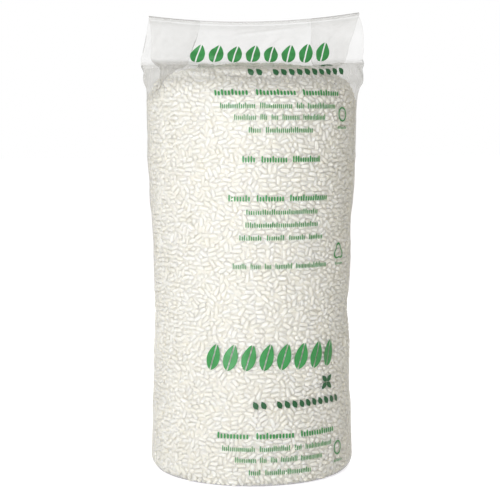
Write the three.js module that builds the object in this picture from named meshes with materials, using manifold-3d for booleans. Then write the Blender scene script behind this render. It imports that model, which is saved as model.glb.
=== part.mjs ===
// A gusseted clear-film bag filled with packing peanuts, standing on its base.
// Millimetres, +Z up. The origin is the middle of the flat base, the front panel faces -Y,
// and the heat seal across the top runs along X.
//
// The bag is one tube of film: a front panel, a back panel and a side gusset at each end.
// Filled, the tube is round. Towards the top it is folded flat again, with both gussets
// tucked inwards between the panels, and the layers are welded together along the seal.
import * as THREE from "three";
import Module from "manifold-3d";
import { mergeVertices } from "three/addons/utils/BufferGeometryUtils.js";

// ---- driving dimensions -----------------------------------------------------------------
const PANEL_WIDTH = 732; // front and back panel, fold to fold
const GUSSET_DEPTH = 174; // how far each side is tucked in where the bag is flat
const FOLD_RADIUS = 0.8; // inside the folds of the flat film
const FILM_WALL = 0.15; // film thickness
const FIT_GAP = 0.3; // between the film and the peanuts that press on it

const SEAL_HEIGHT = 1503; // top edge, at the middle of the seal
const SEAL_END_RISE = 27; // the four-layer ends stand taller than the two-layer middle
const SEAL_LEAN = 10; // and one end stands a little taller than the other
const SEAL_BAND = 12; // height of the weld, from the last ring of CLOSING to the top edge
const SEAL_SPARE = 60; // flat film above the weld, before it is cut off along the seal

const BASE_EDGE_RADIUS = 46; // rounding between the base and the wall
const BODY_PROFILE = [
  // [height, radius] of the filled body: it bulges at the foot and spreads at the shoulder
  [BASE_EDGE_RADIUS, 344],
  [150, 341],
  [320, 334],
  [500, 331],
  [680, 332],
  [840, 337],
  [980, 345],
  [1110, 350],
  [1245, 351],
];
const CLOSING = [
  // [height, roundness] above the body: over the shoulder, in along the top of the peanuts,
  // then up as two flat layers to the weld, where the tube is folded flat
  [1276, 0.92],
  [1300, 0.79],
  [1324, 0.67],
  [1347, 0.55],
  [1363, 0.46],
  [1378, 0.38],
  [1402, 0.3],
  [1430, 0.22],
  [1455, 0.15],
  [1477, 0.07],
  [1491, 0],
];

const FILL_TOP = 1374; // crown of the peanuts under the film
const FILL_DOME = 820; // radius of that crown

const VENT_RADIUS = 4; // punched holes that let the air out
const VENT_FROM_FOLD = 30; // hole centre from the panel's side fold
const VENT_HEIGHT = 1412;

const FRONT_STEPS = 6; // facets on half a panel
const GUSSET_STEPS = 3; // facets on half a gusset
const FOLD_STEPS = 3; // facets round a half-turn fold
const BASE_EDGE_RINGS = 4;
const SEAL_STEPS = 6; // facets on half the seal's sagging edge

// ---- the film's cross-section -------------------------------------------------------------
const QUARTER = PANEL_WIDTH / 2 + GUSSET_DEPTH; // film from front middle to side middle
const ROUND_RADIUS = (2 * QUARTER) / Math.PI; // radius when the tube is fully round
const TURN = Math.PI * FOLD_RADIUS; // film used by a half-turn fold
const CORNER = PANEL_WIDTH / 2 - TURN / 2; // where the panel's side fold begins
const TUCK = QUARTER - TURN / 2; // where the gusset's inner fold begins

// Distances along the film, from the front middle to the side middle, where facets meet.
function quarterStations() {
  const between = (from, to, steps) =>
    Array.from({ length: steps }, (_, i) => from + ((to - from) * i) / steps);
  return [
    ...between(0, CORNER, FRONT_STEPS),
    ...between(CORNER, CORNER + TURN, FOLD_STEPS),
    ...between(CORNER + TURN, TUCK, GUSSET_STEPS),
    ...between(TUCK, QUARTER, 2),
    QUARTER,
  ];
}

// Heading of the flat, folded film at a distance along it: 0 is +X, and pi is back to -X.
function foldedHeading(distance) {
  const outer = THREE.MathUtils.clamp((distance - CORNER) / TURN, 0, 1);
  const inner = THREE.MathUtils.clamp((distance - TUCK) / TURN, 0, 0.5);
  return Math.PI * (outer - inner);
}

// A closed ring of [x, y] points. roundness 1 is a circle, 0 is the tube folded flat, and in
// between the gussets are half open. The film's length round the ring never changes.
function filmRing(roundness) {
  const at = quarterStations();
  const quarter = [new THREE.Vector2(0, 0)];
  for (let i = 1; i < at.length; i++) {
    const middle = (at[i] + at[i - 1]) / 2;
    const heading = THREE.MathUtils.lerp(foldedHeading(middle), middle / ROUND_RADIUS, roundness);
    const step = new THREE.Vector2(Math.cos(heading), Math.sin(heading));
    quarter.push(quarter[i - 1].clone().addScaledVector(step, at[i] - at[i - 1]));
  }
  const depth = quarter.at(-1).y;
  quarter.forEach((p) => (p.y -= depth));
  const back = quarter.slice(0, -1).reverse();
  const right = [...quarter, ...back.map((p) => new THREE.Vector2(p.x, -p.y))];
  const left = right.slice(1, -1).reverse();
  return [...right, ...left.map((p) => new THREE.Vector2(-p.x, p.y))];
}

// ---- the bag's outside, ring by ring from the base to the seal -------------------------------
function circleRing(radius, height) {
  const scale = radius / ROUND_RADIUS;
  return filmRing(1).map((p) => new THREE.Vector3(p.x * scale, p.y * scale, height));
}

function bodyRings() {
  const foot = BODY_PROFILE[0][1] - BASE_EDGE_RADIUS;
  const rings = [circleRing(foot / 2, 0)];
  for (let i = 0; i < BASE_EDGE_RINGS; i++) {
    const angle = (Math.PI / 2) * (i / BASE_EDGE_RINGS);
    const out = foot + BASE_EDGE_RADIUS * Math.sin(angle);
    rings.push(circleRing(out, BASE_EDGE_RADIUS * (1 - Math.cos(angle))));
  }
  for (const [height, radius] of BODY_PROFILE) rings.push(circleRing(radius, height));
  return rings;
}

// The seal's top edge over x: it sags between its stiff ends.
function sealHeight(x) {
  const along = x / (PANEL_WIDTH / 2);
  return SEAL_HEIGHT + SEAL_END_RISE * along * along + SEAL_LEAN * along;
}

// A ring above the shoulder. The nearer it is to the weld, the more each point rises towards
// the place on the sagging seal that it has in the flat film.
function closingRing([height, roundness]) {
  const [shoulder, radius] = BODY_PROFILE.at(-1);
  const [weld] = CLOSING.at(-1);
  const share = (height - shoulder) / (weld - shoulder);
  const scale = THREE.MathUtils.lerp(radius / ROUND_RADIUS, 1, share);
  const flat = filmRing(0);
  return filmRing(roundness).map((p, i) => {
    const rise = (sealHeight(flat[i].x) - SEAL_HEIGHT) * share * share;
    return new THREE.Vector3(p.x * scale, p.y * scale, height + rise);
  });
}

function bagRings() {
  const trimmedOff = filmRing(0).map((p) => new THREE.Vector3(p.x, p.y, SEAL_HEIGHT + SEAL_SPARE));
  return [...bodyRings(), ...CLOSING.map(closingRing), trimmedOff];
}

// ---- closed solids --------------------------------------------------------------------------
// Joins the rings with a wall, closes the base with a fan and the top as a flat shape.
function solidOfRings(rings) {
  const size = rings[0].length;
  const points = [...rings.flat(), new THREE.Vector3(0, 0, rings[0][0].z)];
  const faces = [];
  for (let i = 0; i < size; i++) {
    const j = (i + 1) % size;
    faces.push([points.length - 1, j, i]);
    for (let r = 0; r < (rings.length - 1) * size; r += size) {
      faces.push([r + i, r + j, r + size + j], [r + i, r + size + j, r + size + i]);
    }
  }
  const outline = rings.at(-1).map((p) => new THREE.Vector2(p.x, p.y));
  const first = (rings.length - 1) * size;
  for (const face of THREE.ShapeUtils.triangulateShape(outline, [])) {
    faces.push(face.map((i) => first + i));
  }
  return new THREE.BufferGeometry().setFromPoints(points).setIndex(faces.flat());
}

// The same closed surface, moved inwards along its normals.
function shrunk(geometry, distance) {
  const inner = geometry.clone();
  inner.computeVertexNormals();
  const { position, normal } = inner.attributes;
  const point = new THREE.Vector3();
  const outward = new THREE.Vector3();
  for (let i = 0; i < position.count; i++) {
    point.fromBufferAttribute(position, i);
    outward.fromBufferAttribute(normal, i);
    position.setXYZ(i, ...point.addScaledVector(outward, -distance));
  }
  return inner;
}

const wasm = await Module();
wasm.setup();

function toSolid(geometry) {
  const bare = geometry.clone();
  for (const name of ["normal", "uv"]) bare.deleteAttribute(name);
  const merged = mergeVertices(bare, 1e-5);
  return new wasm.Manifold(
    new wasm.Mesh({
      numProp: 3,
      vertProperties: merged.attributes.position.array,
      triVerts: new Uint32Array(merged.index.array),
    }),
  );
}

function toGeometry(solid) {
  const mesh = solid.getMesh();
  return new THREE.BufferGeometry()
    .setAttribute("position", new THREE.BufferAttribute(mesh.vertProperties, 3))
    .setIndex(new THREE.BufferAttribute(mesh.triVerts, 1));
}

// Everything higher than a line that runs along the seal, at a drop below its top edge.
function aboveSeal(drop) {
  const reach = PANEL_WIDTH;
  const outline = [new THREE.Vector2(reach, 2 * SEAL_HEIGHT), new THREE.Vector2(-reach, 2 * SEAL_HEIGHT)];
  for (let i = -SEAL_STEPS; i <= SEAL_STEPS; i++) {
    const x = ((PANEL_WIDTH / 2 + FOLD_RADIUS) * i) / SEAL_STEPS;
    outline.push(new THREE.Vector2(x, sealHeight(x) - drop));
  }
  const prism = new THREE.ExtrudeGeometry(new THREE.Shape(outline), {
    depth: PANEL_WIDTH,
    bevelEnabled: false,
  });
  return toSolid(prism.rotateX(Math.PI / 2).translate(0, PANEL_WIDTH / 2, 0));
}

// ---- the two pieces -----------------------------------------------------------------------
// One wall of film all round, solid only in the weld, with the air vents punched through it.
function filmBag(rings) {
  const surface = solidOfRings(rings);
  const outside = toSolid(surface).subtract(aboveSeal(0));
  const hollow = toSolid(shrunk(surface, FILM_WALL)).subtract(aboveSeal(SEAL_BAND));
  const punch = new THREE.CylinderGeometry(VENT_RADIUS, VENT_RADIUS, PANEL_WIDTH, 12);
  let bag = outside.subtract(hollow);
  for (const side of [-1, 1]) {
    const x = side * (PANEL_WIDTH / 2 - VENT_FROM_FOLD);
    bag = bag.subtract(toSolid(punch.clone().translate(x, 0, VENT_HEIGHT)));
  }
  return toGeometry(bag);
}

// Everything inside the film up to the domed crown, as one mass.
function peanutFill(rings) {
  const inside = shrunk(solidOfRings(rings), FILM_WALL + FIT_GAP);
  const dome = new THREE.SphereGeometry(FILL_DOME, 48, 24).rotateX(Math.PI / 2);
  const column = new THREE.CylinderGeometry(FILL_DOME, FILL_DOME, FILL_TOP - FILL_DOME, 48);
  const below = toSolid(dome.translate(0, 0, FILL_TOP - FILL_DOME)).add(
    toSolid(column.rotateX(Math.PI / 2).translate(0, 0, (FILL_TOP - FILL_DOME) / 2)),
  );
  return toGeometry(toSolid(inside).intersect(below));
}

// ---- assembly -----------------------------------------------------------------------------
function piece(name, geometry, look) {
  const mesh = new THREE.Mesh(geometry, new THREE.MeshStandardMaterial(look));
  mesh.name = name;
  return mesh;
}

const clearFilm = { color: 0xe9e7e2, roughness: 0.22, metalness: 0, opacity: 0.35, transparent: true };
const creamFoam = { color: 0xf3efe6, roughness: 0.9, metalness: 0 };

const rings = bagRings();
const group = new THREE.Group();
group.add(piece("film_bag", filmBag(rings), clearFilm));
group.add(piece("peanut_fill", peanutFill(rings), creamFoam));

export default group;
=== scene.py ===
# %% [markdown]
# # A bag of packing peanuts
#
# A tall side-gusseted bag of clear film, filled with cream foam peanuts and welded shut
# across the top. Three things make it: the film, the peanuts that press against it, and
# the green print on its front panel. The part has no joints, so every piece rides on the
# one body, `root`. Lengths are in metres, +Z is up and the front panel faces -Y.

import itertools
import math

import bmesh
import bpy
import numpy as np
from mathutils import Euler, Matrix, Vector
from mathutils.bvhtree import BVHTree


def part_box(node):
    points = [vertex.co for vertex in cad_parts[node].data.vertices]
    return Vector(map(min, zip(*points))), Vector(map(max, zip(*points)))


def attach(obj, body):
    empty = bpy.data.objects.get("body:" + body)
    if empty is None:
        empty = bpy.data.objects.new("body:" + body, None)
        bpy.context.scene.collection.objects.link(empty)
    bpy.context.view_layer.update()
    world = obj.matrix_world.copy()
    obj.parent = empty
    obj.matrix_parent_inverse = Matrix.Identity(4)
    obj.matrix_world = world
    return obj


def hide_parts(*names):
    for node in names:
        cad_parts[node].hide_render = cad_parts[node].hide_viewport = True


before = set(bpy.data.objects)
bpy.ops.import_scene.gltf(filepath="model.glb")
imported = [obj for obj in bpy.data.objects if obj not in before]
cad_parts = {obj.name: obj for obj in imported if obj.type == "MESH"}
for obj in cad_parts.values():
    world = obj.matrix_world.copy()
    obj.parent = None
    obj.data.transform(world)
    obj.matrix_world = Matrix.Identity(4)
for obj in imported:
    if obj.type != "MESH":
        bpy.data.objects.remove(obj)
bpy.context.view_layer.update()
film_low, film_high = (Vector(corner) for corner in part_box("film_bag"))
print("film from", film_low, "to", film_high)

# %% [markdown]
# ## Sizes
#
# The bag is one tube of film. Laid flat it is a front and a back panel with a gusset
# tucked in at each side. Filled, it is round. These are the sizes of that tube, and the
# two outlines it follows: how wide the filled body is at each height, and how round the
# tube still is on its way from the shoulder up to the weld.

# %% Sizes
PANEL_WIDTH = film_high.x - film_low.x  # fold to fold
GUSSET_DEPTH = 0.174
FOLD_RADIUS = 0.0008
SEAL_BAND = 0.012  # height of the weld
SEAL_END_RISE = 0.025  # the stiff four-layer ends stand above the middle
SEAL_LEAN = 0.012  # and one end above the other
SEAL_HEIGHT = film_high.z - SEAL_END_RISE - SEAL_LEAN
BASE_EDGE = 0.046  # rounding between base and wall

BODY = np.array(  # height, radius
    [
        (BASE_EDGE, 0.344),
        (0.15, 0.341),
        (0.32, 0.334),
        (0.50, 0.331),
        (0.68, 0.332),
        (0.84, 0.337),
        (0.98, 0.345),
        (1.11, 0.350),
        (1.245, 0.351),
    ]
)
CLOSING = np.array(  # height, how far the front still stands out
    [
        (1.245, 0.344),
        (1.270, 0.332),
        (1.293, 0.305),
        (1.314, 0.278),
        (1.343, 0.260),  # nearly upright, then a shelf, then upright again
        (1.350, 0.236),
        (1.355, 0.203),
        (1.363, 0.172),
        (1.383, 0.148),
        (1.410, 0.122),
        (1.435, 0.093),
        (1.460, 0.060),
        (1.478, 0.030),
        (SEAL_HEIGHT - SEAL_BAND, 0.0),
    ]
)
SHOULDER = BODY[-1, 0]
WELD = CLOSING[-1, 0]
QUARTER = PANEL_WIDTH / 2 + GUSSET_DEPTH  # film from front middle to side middle
ROUND_RADIUS = 2 * QUARTER / math.pi
print("weld at", round(WELD, 3), "m, radius when round", round(ROUND_RADIUS, 3), "m")

# %% [markdown]
# ## Three helpers
#
# `smooth_curve` draws a smooth line through a few outline points, and `smooth_step` fades
# one thing into another. `noise` gives smooth random values in space, which make the lumps
# and wrinkles that no rule gives.


# %% Helpers
def smooth_curve(x, points):
    """Values at x of a smooth curve through (x, y) points."""
    xs, ys = points[:, 0], points[:, 1]
    slopes = np.gradient(ys, xs)
    i = np.clip(np.searchsorted(xs, x) - 1, 0, len(xs) - 2)
    span = xs[i + 1] - xs[i]
    t = np.clip((x - xs[i]) / span, 0, 1)
    return (
        (2 * t**3 - 3 * t**2 + 1) * ys[i]
        + (t**3 - 2 * t**2 + t) * span * slopes[i]
        + (3 * t**2 - 2 * t**3) * ys[i + 1]
        + (t**3 - t**2) * span * slopes[i + 1]
    )


def smooth_step(low, high, x):
    t = np.clip((x - low) / (high - low), 0, 1)
    return t * t * (3 - 2 * t)


def noise(points, size, seed):
    """Smooth random values from -1 to 1 that change over about size metres."""
    place = np.asarray(points) / size
    cell = np.floor(place).astype(np.int64)
    t = place - cell
    t = t * t * (3 - 2 * t)
    total = np.zeros(place.shape[:-1])
    for corner in itertools.product((0, 1), repeat=3):
        x, y, z = np.moveaxis(cell + corner, -1, 0)
        mixed = (x * 73856093) ^ (y * 19349663) ^ (z * 83492791) ^ (seed * 2654435761)
        mixed = (mixed ^ (mixed >> 13)) * 1274126177
        value = ((mixed ^ (mixed >> 16)) & 0xFFFF) / 32767.5 - 1
        total += value * np.prod(np.where(corner, t, 1 - t), axis=-1)
    return total


# %% [markdown]
# ## The shape of the film
#
# Film bends easily and hardly stretches, so each cross-section of the tube keeps its
# length. Blending a circle into a flat outline point by point would stretch it. Instead, a
# cross-section is drawn by walking along the film and turning as it turns: in one even
# bend where the bag is round, and only at the folds where it is flat. Between the two the
# turning is a mix, which opens the gussets into a V as on the real bag.

# %% The film's cross-section
TURN = math.pi * FOLD_RADIUS
CORNER = PANEL_WIDTH / 2 - TURN / 2  # where the panel's side fold begins
TUCK = QUARTER - TURN / 2  # where the gusset's inner fold begins
STEP = 0.0075  # film between two points round the mesh
BASE_ROW, BODY_ROW, HEADER_ROW = 0.020, 0.0080, 0.0044  # and between its rows


def quarter_stations():
    """Distances along the film, from the front middle to the side middle."""
    return np.concatenate(
        [
            np.linspace(0, CORNER, round(CORNER / STEP), endpoint=False),
            np.linspace(CORNER, CORNER + TURN, 5, endpoint=False),
            np.linspace(CORNER + TURN, TUCK, round((TUCK - CORNER) / STEP), endpoint=False),
            np.linspace(TUCK, QUARTER, 3),
        ]
    )


AT = quarter_stations()
LAST = len(AT) - 1
RING = 4 * LAST  # points round the film


def film_rings(roundness):
    """[rows, points, xy]: a closed cross-section for each roundness."""
    middle = (AT[1:] + AT[:-1]) / 2
    outer = np.clip((middle - CORNER) / TURN, 0, 1)
    inner = np.clip((middle - TUCK) / TURN, 0, 0.5)
    folded = math.pi * (outer - inner)
    mix = np.asarray(roundness)[:, None]
    heading = folded * (1 - mix) + (middle / ROUND_RADIUS) * mix
    x = np.cumsum(np.cos(heading) * np.diff(AT), axis=1)
    y = np.cumsum(np.sin(heading) * np.diff(AT), axis=1)
    x = np.pad(x, ((0, 0), (1, 0)))
    y = np.pad(y, ((0, 0), (1, 0)))
    y -= y[:, -1:]
    right = np.stack([np.hstack([x, x[:, -2::-1]]), np.hstack([y, -y[:, -2::-1]])], axis=-1)
    left = right[:, -2:0:-1] * (-1, 1)
    return np.hstack([right, left])


def along_film():
    """Distance of each ring point from the front middle, positive towards +X."""
    right = np.concatenate([AT, 2 * QUARTER - AT[-2::-1]])
    return np.concatenate([right, -right[-2:0:-1]])


U = along_film()
print(RING, "points round the film,", round(4 * QUARTER, 3), "m round")

# %% [markdown]
# Rows of these cross-sections, spaced evenly along the front of the bag, make the whole
# surface: under the base, round its edge, up the body, in over the shoulder along the top
# of the peanuts, and up to the weld, where all layers come together in one line.


# %% The film's surface before it wrinkles
def seal_rise(x):
    along = x / (PANEL_WIDTH / 2)
    return SEAL_END_RISE * along * along + SEAL_LEAN * along


def roundness_for(depth):
    """The roundness of the tube whose front stands out by depth."""
    tried = np.linspace(0, 1, 101)
    return np.interp(depth, -film_rings(tried)[:, 0, 1], tried)


def outline():
    """Dense rows of (height, radius of the round tube, roundness) up to the weld."""
    foot = BODY[0, 1] - BASE_EDGE
    under = [(0.0, r, 1.0) for r in np.linspace(0.05, foot, 30, endpoint=False)]
    edge = [
        (BASE_EDGE * (1 - math.cos(a)), foot + BASE_EDGE * math.sin(a), 1.0)
        for a in np.linspace(0, math.pi / 2, 30, endpoint=False)
    ]
    heights = np.linspace(BASE_EDGE, SHOULDER, 500, endpoint=False)
    body = [(z, r, 1.0) for z, r in zip(heights, smooth_curve(heights, BODY))]
    heights = np.linspace(SHOULDER, WELD, 400)
    share = (heights - SHOULDER) / (WELD - SHOULDER)
    radius = BODY[-1, 1] + (ROUND_RADIUS - BODY[-1, 1]) * share
    closing = zip(heights, radius, roundness_for(smooth_curve(heights, CLOSING)))
    return np.array(under + edge + body + list(closing))


def film_surface():
    """[rows, points, xyz] of the smooth bag, and each row's distance along the front."""
    rows = outline()
    depth = -film_rings(rows[:, 2])[:, 0, 1] * rows[:, 1] / ROUND_RADIUS
    gone = np.hypot(np.diff(depth), np.diff(rows[:, 0]))
    gone = np.concatenate([[0], np.cumsum(gone)])
    spacing = np.where(rows[:, 0] < 1e-6, BASE_ROW, BODY_ROW)
    spacing = np.where(rows[:, 0] > SHOULDER, HEADER_ROW, spacing)
    steps = np.concatenate([[0], np.cumsum(np.diff(gone) / spacing[1:])])
    even = np.interp(np.linspace(0, steps[-1], round(steps[-1])), steps, gone)
    z, radius, roundness = (np.interp(even, gone, column) for column in rows.T)
    rings = film_rings(roundness) * (radius / ROUND_RADIUS)[:, None, None]
    flat_x = film_rings([0.0])[0, :, 0]
    share = np.clip((z - SHOULDER) / (WELD - SHOULDER), 0, 1)
    height = z[:, None] + share[:, None] * seal_rise(flat_x)
    surface = np.dstack([rings, height])
    weld = [surface[-1] + (0, 0, SEAL_BAND * part) for part in (0.5, 1.0)]
    weld[-1] = weld[-1] * (1, 0, 1)
    front = np.concatenate([even, even[-1] + SEAL_BAND * np.array([0.5, 1.0])])
    edge = np.searchsorted(z, 1e-6)
    return np.concatenate([surface, weld]), front - front[edge]


smooth_film, V = film_surface()
print(smooth_film.shape, "points of film, front length", round(V[-1], 3))


# %% [markdown]
# ## Lumps, wrinkles and folds
#
# The film is pushed out by the peanuts in soft lumps, and drawn tight between them. Where
# nothing backs it, near the weld, it ripples. The corners of the tube stand out from the
# shoulder. Each lump, ripple or crease is a distance along the surface's own normal, so
# they can simply be added up. A simulated cloth would wrinkle too, but its outline would
# be hard to hold.


# %% Wrinkles
BIG_LUMP, SMALL_LUMP, DIMPLE = 0.0042, 0.0026, 0.0010  # how far the load pushes out
RIPPLE, FINE_RIPPLE, SWAY = 0.0065, 0.0020, 0.006  # how far the empty film waves


def grid_normals(grid):
    """Outward normals of a [rows, points, xyz] grid that is closed round each row."""
    along = np.roll(grid, -1, axis=1) - np.roll(grid, 1, axis=1)
    up = np.gradient(grid, axis=0)
    normal = np.cross(along, up)
    length = np.linalg.norm(normal, axis=-1, keepdims=True)
    return normal / np.maximum(length, 1e-12)


def lumps(points):
    """How far the load pushes the film out, in broad lumps."""
    return BIG_LUMP * noise(points, 0.14, 1) + SMALL_LUMP * noise(points, 0.07, 2)


def film_at(height):
    """Distance up the front of the film's row at a height."""
    above = smooth_film[:, 0, 2] > 0
    return float(np.interp(height, smooth_film[above, 0, 2], V[above]))


def bump_line(u, v, start, end, width, height):
    """A ridge (or a valley, if height is negative) from start to end on the film."""
    (u0, v0), (u1, v1) = start, end
    du, dv = u1 - u0, v1 - v0
    t = ((u - u0) * du + (v - v0) * dv) / (du * du + dv * dv)
    off = np.hypot(u - u0 - np.clip(t, 0, 1) * du, v - v0 - np.clip(t, 0, 1) * dv)
    fade = np.sin(math.pi * np.clip(t * 0.8 + 0.1, 0, 1))
    return height * fade * np.exp(-((off / width) ** 2))


LEAN = 0.055  # the empty top leans towards the front
EAR = -0.006  # the folds at the shoulder's corners are drawn in by this
FOLD_LINE = 0.0012  # the old folds of the tube, still faintly seen down the body
GATHER = 0.018  # the ripples draw the top in by this share
CREASES = [  # from (u, height) to (u, height), width, height of the ridge
    ((-0.56, 1.352), (0.56, 1.360), 0.012, -0.005),  # where the film leaves the load
    ((-0.44, 1.378), (0.46, 1.388), 0.016, 0.005),
    ((-0.25, 1.338), (-0.06, 1.316), 0.007, -0.007),
    ((-0.27, 1.335), (-0.09, 1.303), 0.012, 0.006),
    ((0.12, 1.290), (0.32, 1.306), 0.010, -0.004),
    ((0.37, 1.285), (0.31, 1.348), 0.010, 0.006),
    ((-0.345, 1.37), (-0.30, 1.49), 0.008, 0.006),
    ((-0.29, 1.375), (-0.22, 1.44), 0.007, -0.004),
    ((-0.16, 1.38), (-0.21, 1.47), 0.007, 0.005),
    ((0.26, 1.38), (0.33, 1.48), 0.008, 0.006),
    ((0.30, 1.40), (0.20, 1.475), 0.007, -0.004),
    ((0.05, 1.40), (0.10, 1.46), 0.010, -0.005),
    ((-0.06, 1.46), (0.12, 1.475), 0.008, 0.003),
]


def creased(u, v):
    """All the creases of the top. The back panel has its own, turned end for end."""
    back = np.where(u > 0, 2 * QUARTER - u, -2 * QUARTER - u)
    push = 0 * u
    for start, end, width, height in CREASES:
        ends = [(x, film_at(z)) for x, z in (start, end)]
        push += bump_line(u, v, *ends, width, height)
        push += bump_line(back, v, *ends, width, height)
    return push


def wrinkled_film():
    grid = smooth_film.copy()
    normal = grid_normals(grid)
    height = grid[..., 2]
    u = np.broadcast_to(U, height.shape)
    v = np.broadcast_to(V[:, None], height.shape)
    backed = smooth_step(0.005, 0.05, height) * (1 - smooth_step(1.30, 1.40, height))
    push = backed * (lumps(grid) + DIMPLE * noise(grid, 0.024, 3))
    loose = smooth_step(1.335, 1.375, height) * (1 - smooth_step(1.42, 1.485, height))
    stretched = np.stack([u / 0.05, v / 0.16, 0 * u], axis=-1)
    push += loose * RIPPLE * noise(stretched, 1.0, 7)
    fine = np.stack([u / 0.020, v / 0.055, 0 * u], axis=-1)
    push += loose * FINE_RIPPLE * noise(fine, 1.0, 8)
    fold = np.minimum(np.abs(np.abs(u) - CORNER), np.abs(2 * QUARTER - np.abs(u) - CORNER))
    ear = smooth_step(1.262, 1.29, height) * (1 - smooth_step(1.345, 1.368, height))
    push += EAR * ear * np.exp(-((fold / 0.035) ** 2))
    push += FOLD_LINE * backed * np.exp(-((fold / 0.007) ** 2))
    push += creased(u, v)
    grid = grid + normal * push[..., None]
    top = smooth_step(1.30, 1.46, height)
    grid[..., 0] *= 1 - GATHER * top
    sway = np.stack([grid[..., 0] / 0.16, height / 0.30, 0 * u], axis=-1)
    grid[..., 1] += SWAY * smooth_step(1.36, 1.50, height) * noise(sway, 1.0, 9)
    grid[..., 1] -= LEAN * smooth_step(1.37, 1.49, height)
    return grid


film_grid = wrinkled_film()
film_grid[..., 2] = np.maximum(film_grid[..., 2], 0)
film_normals = grid_normals(film_grid)
print("front of the film", round(V[-1], 3), "m, rows", len(film_grid))

# %% [markdown]
# ## From points to meshes
#
# Every hand-made piece goes through `mesh_object`. The film's rows become quads, and its
# last row is zipped shut, front onto back, as the weld does.


# %% Making meshes
def placed(name, data):
    """A new object in the scene that shows a mesh, a lamp or a camera."""
    made = bpy.data.objects.new(name, data)
    bpy.context.scene.collection.objects.link(made)
    return made


def mesh_object(name, points, faces, material, smooth=True):
    mesh = bpy.data.meshes.new(name)
    mesh.from_pydata([tuple(p) for p in points], [], [tuple(int(i) for i in f) for f in faces])
    mesh.polygons.foreach_set("use_smooth", [smooth] * len(mesh.polygons))
    mesh.materials.append(material)
    mesh.update()
    return placed(name, mesh)


def drop_loose(mesh):
    """Delete the points that no face uses."""
    made = bmesh.new()
    made.from_mesh(mesh)
    bmesh.ops.delete(made, geom=[v for v in made.verts if not v.link_faces], context="VERTS")
    made.to_mesh(mesh)
    made.free()


def film_faces(rows):
    """Quads between the rows. The last row is zipped shut, front onto back."""
    ring = np.arange(RING)
    opposite = np.where(ring <= RING // 2, RING // 2 - ring, RING + RING // 2 - ring)
    front = (ring <= LAST) | (ring >= RING - LAST)
    faces = []
    for r in range(rows - 1):
        low, high = r * RING + ring, (r + 1) * RING + ring
        if r == rows - 2:
            high = (r + 1) * RING + np.where(front, ring, opposite)
        faces.append(np.stack([low, np.roll(low, -1), np.roll(high, -1), high], axis=1))
    return np.concatenate(faces)


# %% [markdown]
# ## Film, foam and ink
#
# The film is clear: most of what is seen is the foam behind it. It could be made of
# glass, but so thin a film bends no light, so it is a plain surface with a low alpha. It
# whitens where it is seen edge-on and in faint streaks along the way it was blown, so the
# alpha follows the angle and a stretched noise. Foam is matt and finely pitted, each
# peanut a little lighter or yellower than the next, and light soaks a little way into it.
# All of them share one node group for their grain.


# %% Grain shared by every finish
def add_socket(tree, name, kind="Float", way="INPUT"):
    return tree.interface.new_socket(name, in_out=way, socket_type="NodeSocket" + kind)


def grain_group():
    """Uneven grain: a mask from 0 to 1 in broad patches and a fine height."""
    group = bpy.data.node_groups.new("uneven_grain", "ShaderNodeTree")
    add_socket(group, "Patch scale").default_value = 10.0
    add_socket(group, "Pit scale").default_value = 300.0
    add_socket(group, "Stretch", "Vector").default_value = (1, 1, 1)
    for name in ("Mask", "Height"):
        add_socket(group, name, way="OUTPUT")
    nodes, links = group.nodes, group.links
    given, result = nodes.new("NodeGroupInput"), nodes.new("NodeGroupOutput")
    place = nodes.new("ShaderNodeTexCoord")
    mapping = nodes.new("ShaderNodeMapping")
    links.new(place.outputs["Object"], mapping.inputs["Vector"])
    links.new(given.outputs["Stretch"], mapping.inputs["Scale"])
    for socket, output, detail in (("Patch scale", "Mask", 3.0), ("Pit scale", "Height", 1.0)):
        cloud = nodes.new("ShaderNodeTexNoise")
        cloud.inputs["Detail"].default_value = detail
        links.new(mapping.outputs["Vector"], cloud.inputs["Vector"])
        links.new(given.outputs[socket], cloud.inputs["Scale"])
        spread = nodes.new("ShaderNodeMapRange")
        spread.inputs["From Min"].default_value = 0.3
        spread.inputs["From Max"].default_value = 0.7
        links.new(cloud.outputs["Fac"], spread.inputs["Value"])
        links.new(spread.outputs["Result"], result.inputs[output])
    return group


uneven_grain = grain_group()


def material(name):
    made = bpy.data.materials.new(name)
    made.use_nodes = True
    return made, made.node_tree, made.node_tree.nodes["Principled BSDF"]


def add_grain(tree, shader, patch, pit, stretch, bump):
    """Place the grain in a material and let its height feed the normal."""
    grain = tree.nodes.new("ShaderNodeGroup")
    grain.node_tree = uneven_grain
    grain.inputs["Patch scale"].default_value = patch
    grain.inputs["Pit scale"].default_value = pit
    grain.inputs["Stretch"].default_value = stretch
    node = tree.nodes.new("ShaderNodeBump")
    node.inputs["Strength"].default_value = 1.0
    node.inputs["Distance"].default_value = bump
    tree.links.new(grain.outputs["Height"], node.inputs["Height"])
    tree.links.new(node.outputs["Normal"], shader.inputs["Normal"])
    return grain


def colour_mix(tree, first=(1, 1, 1), second=(1, 1, 1)):
    """A node that mixes two colours: inputs 0, 6 and 7 are the share and the colours."""
    mix = tree.nodes.new("ShaderNodeMix")
    mix.data_type = "RGBA"
    mix.inputs[6].default_value = (*first, 1)
    mix.inputs[7].default_value = (*second, 1)
    return mix


def two_tones(tree, shader, mask, first, second):
    """Base colour that moves from first to second with the mask."""
    mix = colour_mix(tree, first, second)
    tree.links.new(mask, mix.inputs[0])
    tree.links.new(mix.outputs[2], shader.inputs["Base Color"])
    return mix


def math_node(tree, operation, *values):
    node = tree.nodes.new("ShaderNodeMath")
    node.operation = operation
    for socket, value in zip(node.inputs, values):
        if isinstance(value, (int, float)):
            socket.default_value = value
        else:
            tree.links.new(value, socket)
    return node.outputs[0]


# %% Clear film
# How much the cloud number adds to the film's alpha: haze, and painted shade under the crease.
HAZE_AND_PAINTED_SHADE = 0.18


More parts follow.
